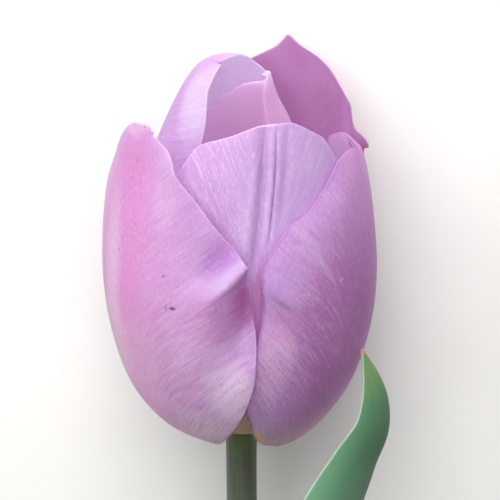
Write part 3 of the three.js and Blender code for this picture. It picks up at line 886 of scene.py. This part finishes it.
class Wire:
    """An output socket in a material's tree. +, -, * and abs() add Math nodes; node() adds any other kind."""

    def __init__(self, tree, socket=None):
        self.tree = tree
        self.socket = socket

    def node(self, kind, settings=None, inputs=None, output=0):
        """Adds a node: first its settings, then its inputs, and returns the output asked for."""
        made = self.tree.nodes.new(kind)
        for key, value in (settings or {}).items():
            if key == "stops":
                ramp = made.color_ramp
                while len(ramp.elements) < len(value):
                    ramp.elements.new(1.0)
                for element, (position, tone) in zip(ramp.elements, value):
                    element.position = position
                    element.color = tone
            else:
                setattr(made, key, value)
        for key, value in (inputs or {}).items():
            target = input_socket(made, key)
            if isinstance(value, Wire):
                self.tree.links.new(value.socket, target)
            else:
                target.default_value = value
        return Wire(self.tree, made.outputs[output]) if len(made.outputs) else None

    def maths(self, operation, a, b=0.0):
        return self.node("ShaderNodeMath", {"operation": operation}, {0: a, 1: b})

    def __add__(self, other):
        return self.maths("ADD", self, other)

    __radd__ = __add__

    def __sub__(self, other):
        return self.maths("SUBTRACT", self, other)

    def __rsub__(self, other):
        return self.maths("SUBTRACT", other, self)

    def __mul__(self, other):
        return self.maths("MULTIPLY", self, other)

    __rmul__ = __mul__

    def __abs__(self):
        return self.maths("ABSOLUTE", self)

    def step(self, low, high):
        """0 below low and 1 above high, with a smooth step between them; high may be the lower one."""
        if high < low:
            return 1 - self.step(high, low)
        inputs = {"Value": self, "From Min": low, "From Max": high}
        return self.node("ShaderNodeMapRange", {"interpolation_type": "SMOOTHSTEP"}, inputs)

    def ramp(self, stops):
        """A colour for each value, from (value, colour) stops."""
        return self.node("ShaderNodeValToRGB", {"stops": stops}, {"Fac": self})

    def mix(self, first, second):
        """The first colour where this wire is 0 and the second where it is 1."""
        inputs = {"Factor_Float": self, "A_Color": first, "B_Color": second}
        return self.node("ShaderNodeMix", {"data_type": "RGBA"}, inputs, 2)


def shade(red, green, blue):
    """A colour as a shader reads it, from its three numbers of 0 to 255 as a screen shows them."""
    part = np.array([red, green, blue]) / 255
    linear = np.where(part <= 0.04045, part / 12.92, ((part + 0.055) / 1.055) ** 2.4)
    return (*linear.tolist(), 1.0)


def new_finish(name):
    """An empty material and a wire to start its tree from."""
    material = bpy.data.materials.new(name)
    material.use_nodes = True
    material.node_tree.nodes.clear()
    return material, Wire(material.node_tree)


def map_pair(start, name):
    """The two numbers that a piece's UV map of that name holds."""
    uv = start.node("ShaderNodeUVMap", {"uv_map": name})
    return [start.node("ShaderNodeSeparateXYZ", None, {0: uv}, k) for k in range(2)]


def noise(start, x, y, detail=2.0, rough=0.5, z=0.0):
    """Noise of 0 to 1 at x and y, about one bump to the unit; another z gives another pattern."""
    place = start.node("ShaderNodeCombineXYZ", None, {0: x, 1: y, 2: z})
    inputs = {"Vector": place, "Scale": 1.0, "Detail": detail, "Roughness": rough}
    return start.node("ShaderNodeTexNoise", None, inputs)


def object_noise(start, scale, detail):
    """Noise of 0 to 1 on Object coordinates, with so many bumps to the metre along each axis."""
    place = start.node("ShaderNodeTexCoord", None, None, 3)
    stretched = start.node("ShaderNodeMapping", None, {"Vector": place, "Scale": scale})
    return start.node("ShaderNodeTexNoise", None, {"Vector": stretched, "Scale": 1.0, "Detail": detail})


RELIEF_DEPTH = 0.0001


def skin_shader(start, colour, rough, shine, relief, relief_strength, glow=None, share=0.0, more=None):
    """Ends a material's tree: a Principled shader with a fine relief, and a share of light that goes
    through."""
    bumps = {"Strength": relief_strength, "Distance": RELIEF_DEPTH, "Height": relief}
    normal = start.node("ShaderNodeBump", None, bumps)
    inputs = {"Base Color": colour, "Roughness": rough, "Specular IOR Level": shine, "Normal": normal}
    shader = start.node("ShaderNodeBsdfPrincipled", None, {**inputs, **(more or {})})
    if share:
        light = start.node("ShaderNodeBsdfTranslucent", None, {"Color": glow, "Normal": normal})
        shader = start.node("ShaderNodeMixShader", None, {"Fac": share, 1: shader, 2: light})
    start.node("ShaderNodeOutputMaterial", None, {"Surface": shader})


print("half way grey on a screen, to a shader:", round(shade(128, 128, 128)[0], 3))

# %% [markdown]
# ## The petal finish
#
# A tulip petal is satin: pale lines and darker ones run along its veins over a mauve ground that is pinker
# along the midrib, lavender towards the margins and yellowish at the very foot. The veins could be painted,
# but noise stretched along the vein's own coordinate keeps them even from the foot to the margin. The
# ground is laid first: a ramp across the petal, soft clouds, and patches where the picture shows a change
# of colour. Many of those patches are painted light and shade: shade in folds, grooves and cast shadows,
# light on ridges, margins and bulges. Painted shade also darkens the outside higher up, and three insides
# are paler with painted light. Mottle, fibres and rim follow, and low down the pale fibres are partly
# painted highlights. The petal is thin enough to let light through, which a Translucent shader mixed in
# does, and the inside of the back inner tepal glows with painted light.


# %% Veins and patches
def petal_place(start):
    """Where a point is: mm across and up, its vein, its share across, 1 if inside or 0, mm from the rim."""
    across, height = map_pair(start, "place")
    vein, side = map_pair(start, "vein")
    skin, rim = map_pair(start, "skin")
    share, inner = side * 0.5 + 0.5, skin.step(0.4, 0.6)
    return SimpleNamespace(across=across, height=height, vein=vein, share=share, inner=inner, rim=rim)


# How many fibres there are to the mm, across them and along them.
UPRIGHT_FIBRES = (4.2, 0.3)
FANNED_FIBRES = (4.6, 0.2)


def veins(start, at, fan, seed):
    """Short fibres: upright by the midrib, and along the vein map from 1.5 to 4.5 mm beside it outwards."""
    slope = np.hypot(1, fan[0] + 0.15 * fan[1])
    upright = noise(start, at.across * UPRIGHT_FIBRES[0], at.height * UPRIGHT_FIBRES[1], z=seed)
    dense, long = FANNED_FIBRES
    fanned = noise(start, at.vein * (dense / slope), at.height * long, z=at.across * long + seed)
    far = abs(at.across).step(1.5, 4.5)
    return upright * (1 - far) + fanned * far


def patch(at, place, size, lean=0.0):
    """1 at a place on the petal, falling smoothly to 0 at an ellipse round it; its longer side leans."""
    x, y = at.across - place[0], at.height - place[1]
    if size[1] > size[0]:
        x = x - y * lean
    else:
        y = y - x * lean
    x, y = x * (1 / size[0]), y * (1 / size[1])
    return (x * x + y * y).step(1.0, 0.0)


# %% Layers of a petal's colour
def petal_ground(at, clouds, outside, inside, patches, inside_patches):
    """A ramp across each skin, soft clouds, a pale foot, the patches, and painted shade on the outside higher
    up.
    """
    colour = at.inner.mix(at.share.ramp(outside), at.share.ramp(inside))
    colour = (clouds.step(0.35, 0.7) * 0.3).mix(colour, shade(216, 178, 232))
    colour = (at.height.step(12, 1) * 0.7).mix(colour, shade(236, 216, 214))
    for face, marks in [(1 - at.inner, patches), (at.inner, inside_patches)]:
        for place, size, strength, tint, *lean in marks:
            colour = (patch(at, place, size, *lean) * face * strength).mix(colour, shade(*tint))
    # Painted shade: the outside darkens from 34 mm up.
    painted_shade_upper = at.height.step(34, 54) * (1 - at.inner)
    return (painted_shade_upper * 0.3).mix(colour, shade(150, 100, 160))


def petal_mottle(at, colour, mottle, dark):
    """Dark and light blots a mm wide, stronger on the left half and fainter inside."""
    left = at.across.step(4, -5) * 0.5 + 1
    colour = (mottle.step(0.5, 0.68) * left * (0.36 - 0.26 * at.inner)).mix(colour, shade(*dark))
    return (mottle.step(0.48, 0.3) * left * (0.32 - 0.22 * at.inner)).mix(colour, shade(240, 216, 242))


def petal_fibres(at, colour, fibre, fine, calm):
    """Light and dark fibres that come and go, strong low down and off the midrib, faint in calm places.
    Low down their pale lines are partly painted highlights on the veins.
    """
    # Fibres are stronger low down, partly the petal's own lines and partly painted highlights on its veins.
    low = at.height.step(38, 14) * 0.8 + 0.85
    strength = (fine.step(0.3, 0.7) * 0.5 + 0.5) * (abs(at.across).step(1, 7) * 0.5 + 0.5) * low
    for place, size, *lean in calm:
        strength = strength * (1 - 0.7 * patch(at, place, size, *lean))
    colour = (fibre.step(0.45, 0.68) * strength * (0.38 - 0.2 * at.inner)).mix(colour, shade(244, 222, 250))
    return (fibre.step(0.55, 0.32) * strength * (0.36 - 0.2 * at.inner)).mix(colour, shade(184, 116, 186))


# %% Petals
def petal_finish(
    where, shape, outside, inside, seed, patches=(), inside_patches=(), calm=(), dark=(198, 120, 182),
    glow=(234, 186, 224), share=0.45, rim_strength=0.4, rim_from=0, rim_colour=(240, 216, 242), painted_glow=0.0,
):
    """A petal's satin, from ramps across its outside and inside. dark is the colour of its blots, and the rim
    has its own colour from rim_from mm up. A share of the light goes through, tinted by glow. The last
    argument is how much the inside glows pink with painted light, an emission that stands in for the light
    that the cup gathers."""
    material, start = new_finish("petal_satin_" + where)
    at = petal_place(start)
    fibre = veins(start, at, shape["fan"], seed)
    clouds = noise(start, at.across * 0.16, at.height * 0.1, detail=3.0, z=seed + 3)
    fine = noise(start, at.across * 0.9, at.height * 0.45, detail=3.0, z=seed + 6)
    mottle = noise(start, at.across * 1.9, at.height * 0.9, detail=3.0, rough=0.65, z=seed + 9)
    colour = petal_ground(at, clouds, outside, inside, patches, inside_patches)
    colour = petal_mottle(at, colour, mottle, dark)
    colour = petal_fibres(at, colour, fibre, fine, calm)
    edge = at.rim.step(0.6, 0.15) * at.height.step(rim_from - 1, rim_from + 8) * rim_strength
    colour = edge.mix(colour, shade(*rim_colour))
    # The inner skin glows pink: emission as painted light, standing in for the light that the cup gathers.
    skin_shader(start, colour, 0.5 - 0.12 * fibre, 0.35, fibre + 0.6 * clouds, 0.35, shade(*glow), share, {
        "Sheen Weight": 0.15, "Sheen Roughness": 0.4, "Emission Strength": painted_glow,
        "Emission Color": at.inner.mix(shade(0, 0, 0), shade(248, 176, 232)),
    })
    return material


PINK = shade(226, 160, 212)
MAUVE = shade(204, 152, 212)
LAVENDER = shade(206, 180, 232)
PINK_LILAC = shade(222, 178, 226)
PALE = shade(226, 206, 242)
MAUVE_LILAC = shade(156, 112, 154)
LILAC = shade(210, 178, 224)
GREY_MAUVE = shade(152, 130, 176)
ORCHID = shade(184, 132, 182)
GREY_LILAC = shade(188, 164, 214)
# The two inside colours are painted light: paler than the petal, they stand in for light that comes through
# the thin walls and in at the mouth.
INSIDE_PALE_PAINTED_LIGHT = shade(246, 240, 252)
INSIDE_PINK_PAINTED_LIGHT = shade(255, 236, 250)


def evenly(*shades):
    """Ramp stops that spread the given colours evenly from 0 to 1."""
    return [(k / (len(shades) - 1), one) for k, one in enumerate(shades)]


# %% Patches of the outer petals
# Each patch has its place and size on the petal in mm, its strength and its colour, and maybe how far it
# leans.
LEFT_PATCHES = [
    ((0, 52), (6, 16), 0.4, (232, 150, 204)),
    ((-6.5, 34), (4.5, 24), 0.7, (240, 218, 238), 0.05),
    ((0, 30), (4.5, 15), 0.35, (220, 142, 196)),
    # Painted light that keeps the lower left pale.
    ((-8, 20), (8, 12), 0.6, (246, 226, 238)),
    ((8, 55), (4, 9), 0.6, (244, 222, 248)),
    ((-1.5, 63.5), (4, 2.6), 0.7, (250, 228, 250)),
    # Painted shade in the hollow above the fold's crest, a painted highlight on the crest, and painted shade
    # in the valley below it and down the margin.
    ((20.5, 43.6), (6.5, 5), 0.75, (164, 122, 194), 0.6),
    ((21.5, 39.6), (6.5, 2.2), 0.5, (206, 198, 232), 0.75),
    ((24.8, 35), (4.2, 8.5), 0.9, (188, 88, 168), 0.1),
    ((19, 31.5), (7.5, 6.5), 0.5, (214, 136, 200)),
    ((24.5, 23.5), (5, 7), 0.4, (206, 156, 220)),
    # Painted light on the low bulge by the margin and higher on the right half; the wide pale patch low down
    # is partly the petal's own pale foot and partly painted light.
    ((20.5, 15), (8, 9), 0.9, (255, 240, 255)),
    ((0, 17), (18, 15), 0.5, (240, 206, 228)),
    ((14, 26), (8, 9), 0.4, (242, 206, 240)),
    ((12, 6), (10, 7), 0.8, (255, 240, 244)),
    # Small brown specks.
    *(
        (place, (size, size), 0.8, (120, 62, 96))
        for place, size in [
            ((0.1, 57.9), 0.4), ((-0.9, 54.4), 0.35), ((-3.1, 50.5), 0.3), ((1.5, 46.5), 0.3),
            ((-3.3, 40.3), 0.35), ((8.7, 38.4), 0.4), ((9.1, 32.3), 0.4),
        ]
    ),
    ((10.6, 32.6), (0.9, 0.45), 1.0, (60, 26, 36)),
    ((0, -0.4), (14, 1.5), 0.6, (240, 226, 196)),
]
RIGHT_PATCHES = [
    # Painted shade: the lower middle and the right side, which turn from the light, are darkened to deep
    # purple.
    ((-6, 26), (13, 26), 0.65, (164, 72, 150)),
    ((8, 28), (13, 26), 0.7, (146, 64, 148)),
    ((-10, 48), (9, 9), 0.4, (206, 184, 232)),
    ((-18.5, 22), (4.5, 12), 0.65, (250, 208, 240)),
    ((-17, 30), (5, 4), 0.5, (224, 148, 208)),
    ((-19, 39.5), (6, 5), 0.6, (194, 164, 228)),
    # Painted shade in the crease below the fold's corner.
    ((-18.8, 34.2), (3, 1), 0.4, (160, 104, 172), -0.79),
    ((-6, 1.5), (8, 4), 0.7, (232, 214, 178)),
    ((-13.2, 4.2), (4.6, 1.1), 1.0, (255, 232, 0), -0.83),
    ((-8, 2), (5, 1.2), 0.6, (246, 226, 150)),
    # A painted highlight along the left margin.
    ((-15.5, 48), (1.2, 16), 0.5, (238, 220, 248), -0.6),
    ((-6.6, 36.4), (0.5, 0.5), 0.8, (240, 220, 226)),
]
RIGHT_INSIDE_PATCHES = [
    # The pale pink ruffle of the tip's fold, and beside it a painted shadow in deep pink.
    ((15.3, 55.2), (1, 1.6), 0.9, (255, 214, 242)),
    ((14, 54.7), (0.7, 0.9), 1.0, (190, 50, 136)),
]

# %% Patches of the inner petal at the front
FRONT_PATCHES = [
    # Painted shade on the lower middle, behind and between the two outer tepals.
    ((0, 32), (12, 14), 0.35, (166, 128, 176)),
    # Painted shadow of the left outer tepal on this one's left side.
    ((-9, 50), (8, 16), 0.25, (186, 158, 198)),
    ((9, 58), (6, 6), 0.4, (228, 208, 246)),
    # More painted shadow of the left outer tepal.
    ((-10, 48), (6, 9), 0.4, (172, 134, 190)),
    # Along the midrib: painted shade in the grooves and painted highlights on the ridges beside them.
    ((-0.6, 52), (1.6, 15), 0.45, (160, 120, 180), 0.05),
    ((-2.3, 50), (1.2, 11), 0.35, (232, 206, 240), 0.06),
    ((0.8, 50.5), (0.8, 10), 0.4, (236, 208, 242), 0.06),
    ((1.5, 53), (0.6, 11), 0.5, (144, 98, 160), 0.04),
    ((3.5, 56), (1.1, 8), 0.3, (168, 130, 190), 0.07),
    # Painted shade, magenta, where this tepal shows in the gap between the two outer ones.
    ((0, 30), (2.5, 16), 0.6, (192, 98, 162)),
    ((0, 0), (14, 16), 1.0, (196, 182, 0)),
]

# %% Petal finishes
finishes = {
    "outer_left": petal_finish(
        "outer_left", OUTER_LEFT, evenly(PALE, PINK, PINK, PINK_LILAC, LAVENDER),
        evenly(ORCHID, MAUVE, ORCHID), 1.0, LEFT_PATCHES,
        calm=[((21, 39.6), (8, 4.5), 0.75), ((-2, 40), (6, 26))], rim_strength=0.1,
    ),
    "outer_right": petal_finish(
        "outer_right", OUTER_RIGHT, evenly(LAVENDER, PINK_LILAC, MAUVE, MAUVE, PINK),
        evenly(INSIDE_PALE_PAINTED_LIGHT, PALE, PALE), 4.0, RIGHT_PATCHES, RIGHT_INSIDE_PATCHES,
        calm=[((-19, 39), (6, 5)), ((-8, 12), (12, 12))],
        # Its rim is a darker mauve: painted shade that keeps the lit margin from showing as a bright line.
        glow=(230, 180, 224), rim_strength=0.8, rim_colour=(176, 122, 180),
    ),
    "outer_back": petal_finish(
        "outer_back", OUTER_BACK, evenly(LAVENDER, PINK, LAVENDER), evenly(ORCHID, ORCHID), 9.0,
        inside_patches=[((-12.8, 57), (1.7, 8), 0.5, (204, 168, 220))],
        glow=(222, 180, 214), rim_strength=0.8, rim_from=56,
    ),
    "inner_front": petal_finish(
        "inner_front", INNER_FRONT, evenly(LILAC, LILAC, GREY_LILAC, LAVENDER, LAVENDER),
        evenly(MAUVE, ORCHID, MAUVE), 13.0, FRONT_PATCHES,
        glow=(232, 202, 230), share=0.3, dark=(184, 138, 200), rim_strength=0.3, rim_colour=(226, 196, 232),
    ),
    "inner_left": petal_finish(
        "inner_left", INNER_LEFT, evenly(LAVENDER, PINK, MAUVE_LILAC, MAUVE_LILAC),
        # The pale patch on the outside is a painted highlight on the rolled-over margin.
        evenly(INSIDE_PALE_PAINTED_LIGHT, INSIDE_PALE_PAINTED_LIGHT), 17.0, [((10.6, 65), (4.6, 9), 0.85, (218, 216, 228), -0.6)],
        [((-6, 69.3), (2.4, 1.6), 0.9, (255, 255, 255))], glow=(234, 222, 244), share=0.5, rim_strength=0.3,
    ),
    "inner_back": petal_finish(
        "inner_back", INNER_BACK, evenly(GREY_MAUVE, GREY_MAUVE, PINK, LAVENDER),
        evenly(INSIDE_PINK_PAINTED_LIGHT, INSIDE_PINK_PAINTED_LIGHT), 21.0,
        inside_patches=[((-1.6, 61), (3, 9), 0.6, (176, 134, 196))],
        # The inside glows with painted light.
        glow=(255, 246, 252), share=0.75, painted_glow=0.36,
    ),
}
print("petal finishes:", len(finishes))

# %% [markdown]
# ## Green finishes
#
# Stem and leaves wear a waxy bloom that greys their green. Fine parallel veins run the length of a leaf,
# its rim is paler, and painted shade darkens its right side. On the stem the wax is broken by faint
# streaks, and painted shade darkens it near the bloom. Pistil and stamens have a fine grain instead.


# %% Leaves
def leaf_finish(name, seed, length):
    """Glaucous green with fine veins and clouds of wax, darker above, painted shade on the right, its tip
    reddish.
    """
    material, start = new_finish(name)
    across, along = map_pair(start, "place")
    skin, rim = map_pair(start, "skin")
    to_tip = length - along
    veining = noise(start, across * 2.4, along * 0.012, detail=3.0, z=seed)
    wax = noise(start, across * 0.12, along * 0.05, detail=4.0, z=seed + 5).step(0.3, 0.7)
    colour = skin.step(0.4, 0.6).mix(shade(104, 155, 120), shade(98, 148, 116))
    colour = (wax * 0.4).mix(colour, shade(124, 166, 140))
    colour = (to_tip.step(34, 12) * 0.9).mix(colour, shade(62, 102, 72))
    # Painted shade: the right side of the blade is darker.
    colour = (across.step(0, 5) * 0.55).mix(colour, shade(58, 98, 78))
    colour = (veining.step(0.35, 0.65) * 0.16).mix(colour, shade(122, 162, 120))
    colour = (to_tip.step(12, 2) * 0.35).mix(colour, shade(146, 170, 100))
    colour = (rim.step(0.5, 0.1) * 0.6).mix(colour, shade(180, 204, 176))
    colour = (to_tip.step(1.6, 0.4) * 0.8).mix(colour, shade(206, 132, 118))
    skin_shader(start, colour, 0.42 + 0.15 * wax, 0.4, veining, 0.3, shade(150, 190, 90), 0.15)
    return material


# %% Stem, pistil and stamens
def stem_finish():
    """Streaked wax: amber and olive at the receptacle, painted shade in dark grey below it, greener further
    down.
    """
    material, start = new_finish("stem_wax")
    down = map_pair(start, "around")[1]
    streaks = object_noise(start, (1500.0, 40.0, 1500.0), 3.0)
    wax = streaks.step(0.35, 0.7)
    # Painted shade: dark grey near the bloom, which shades this part; greener from 14 to 45 mm down.
    near = (wax * 0.5).mix(shade(70, 76, 60), shade(90, 94, 86))
    far = (wax * 0.5).mix(shade(108, 134, 88), shade(136, 156, 118))
    colour = down.step(14, 45).mix(near, far)
    colour = (down.step(12, 5) * 0.6).mix(colour, shade(92, 116, 54))
    colour = (down.step(4, 1) * 0.9).mix(colour, shade(206, 178, 84))
    skin_shader(start, colour, 0.45 + 0.15 * wax, 0.4, streaks, 0.25)
    return material


def grain_finish(name, low, high, tip, tip_from, rough):
    """A soft grain between two shades that turns to the tip's shade over a mm, further along the piece."""
    material, start = new_finish(name)
    along = map_pair(start, "around")[1]
    grain = object_noise(start, (2500.0, 2500.0, 2500.0), 4.0)
    colour = grain.step(0.3, 0.7).mix(shade(*low), shade(*high))
    colour = along.step(tip_from, tip_from + 1).mix(colour, shade(*tip))
    skin_shader(start, colour, rough, 0.35, grain, 0.5)
    return material


upper_finish = leaf_finish("leaf_wax_upper", 31.0, Course(UPPER_LEAF["course"]).length)
lower_finish = leaf_finish("leaf_wax_lower", 37.0, Course(LOWER_LEAF["course"]).length)
stem_wax = stem_finish()
ovary = grain_finish("pistil_skin", (176, 190, 120), (196, 206, 142), (226, 216, 160), 18.5, 0.45)
pollen = grain_finish("anther_pollen", (214, 206, 150), (226, 218, 168), (206, 172, 70), 9.5, 0.8)
print("materials:", len(bpy.data.materials))

# %% [markdown]
# ## Dress the frame
#
# Each piece rides on the one body of the flower, stands in for its CAD node, which is hidden, and is
# given its finish.


# %% Pieces on the frame
def dress(piece, node, material):
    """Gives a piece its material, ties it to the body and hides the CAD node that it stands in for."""
    piece.data.materials.append(material)
    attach(piece, "root")
    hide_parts(node)


petals = {
    "outer_left": outer_left, "outer_right": outer_right, "outer_back": outer_back,
    "inner_front": inner_front, "inner_left": inner_left, "inner_back": inner_back,
}
for where, petal in petals.items():
    dress(petal, "tepal_" + where, finishes[where])
dress(flower_stem, "stem", stem_wax)
dress(upper_leaf, "upper_leaf", upper_finish)
dress(lower_leaf, "lower_leaf", lower_finish)
dress(pistil_piece, "pistil", ovary)
for number, piece in enumerate(stamens):
    dress(piece, "stamen_%d" % (number + 1), pollen)
print("pieces dressed:", len(petals) + 4 + len(stamens))

# %% [markdown]
# ## Table and light
#
# A plain pale table under soft light. In the picture the light comes from the sky: strongest from beyond
# the tips, where the main panel hangs and a small low one makes the thin tips glow. One panel on the left
# and one overhead open the shadows. Sun and sky nodes would do for a field, but panels are easier to
# balance one by one.


# %% Table
TABLE_HALF = 1500


def table():
    """A pale square far larger than the view, with a faint grain so that it isn't one flat colour."""
    corners = np.array([[-1, -1, 0], [1, -1, 0], [1, 1, 0], [-1, 1, 0]], float)
    piece = write_mesh("table", corners * TABLE_HALF - np.array([0, 0, AXIS_HEIGHT]), [[0, 1, 2, 3]])
    material, start = new_finish("table_pale")
    grain = object_noise(start, (60.0, 60.0, 60.0), 3.0)
    colour = grain.mix(shade(226, 224, 220), shade(232, 230, 226))
    matt = start.node("ShaderNodeBsdfPrincipled", None, {"Base Color": colour, "Roughness": 0.8})
    start.node("ShaderNodeOutputMaterial", None, {"Surface": matt})
    piece.data.materials.append(material)


table()


# %% Lights
LIT_PLACE = np.array([0, 35, 0])


def panel(name, direction, distance, size, power):
    """A square soft light in the given direction from the bloom's middle, turned to face it."""
    light = bpy.data.lights.new(name, "AREA")
    light.size = size
    light.energy = power
    lamp = bpy.data.objects.new(name, light)
    away = Vector(direction).normalized()
    place = Matrix.Translation(Vector((ORIGIN + LIT_PLACE) * MM) + away * distance)
    lamp.matrix_world = place @ away.to_track_quat("Z", "Y").to_matrix().to_4x4()
    bpy.context.scene.collection.objects.link(lamp)


def weak_sky(colour, strength):
    """An even, slightly blue light from everywhere."""
    world = bpy.data.worlds.new("studio")
    world.use_nodes = True
    background = world.node_tree.nodes["Background"]
    background.inputs["Color"].default_value = colour
    background.inputs["Strength"].default_value = strength
    bpy.context.scene.world = world


panel("light_main", (-0.3, 0.9, 0.7), 0.75, 0.7, 5.8)
panel("light_left", (-1.0, 0.35, 0.35), 0.75, 0.7, 2.7)
panel("light_front", (0.0, 0.3, 1.0), 0.75, 0.7, 3.0)
panel("light_tips", (0.0, 1.0, 0.25), 0.6, 0.3, 3.5)
weak_sky((0.9, 0.94, 1.0, 1.0), 0.15)
bpy.context.scene.view_settings.view_transform = "Standard"
print("lights:", len(bpy.data.lights))
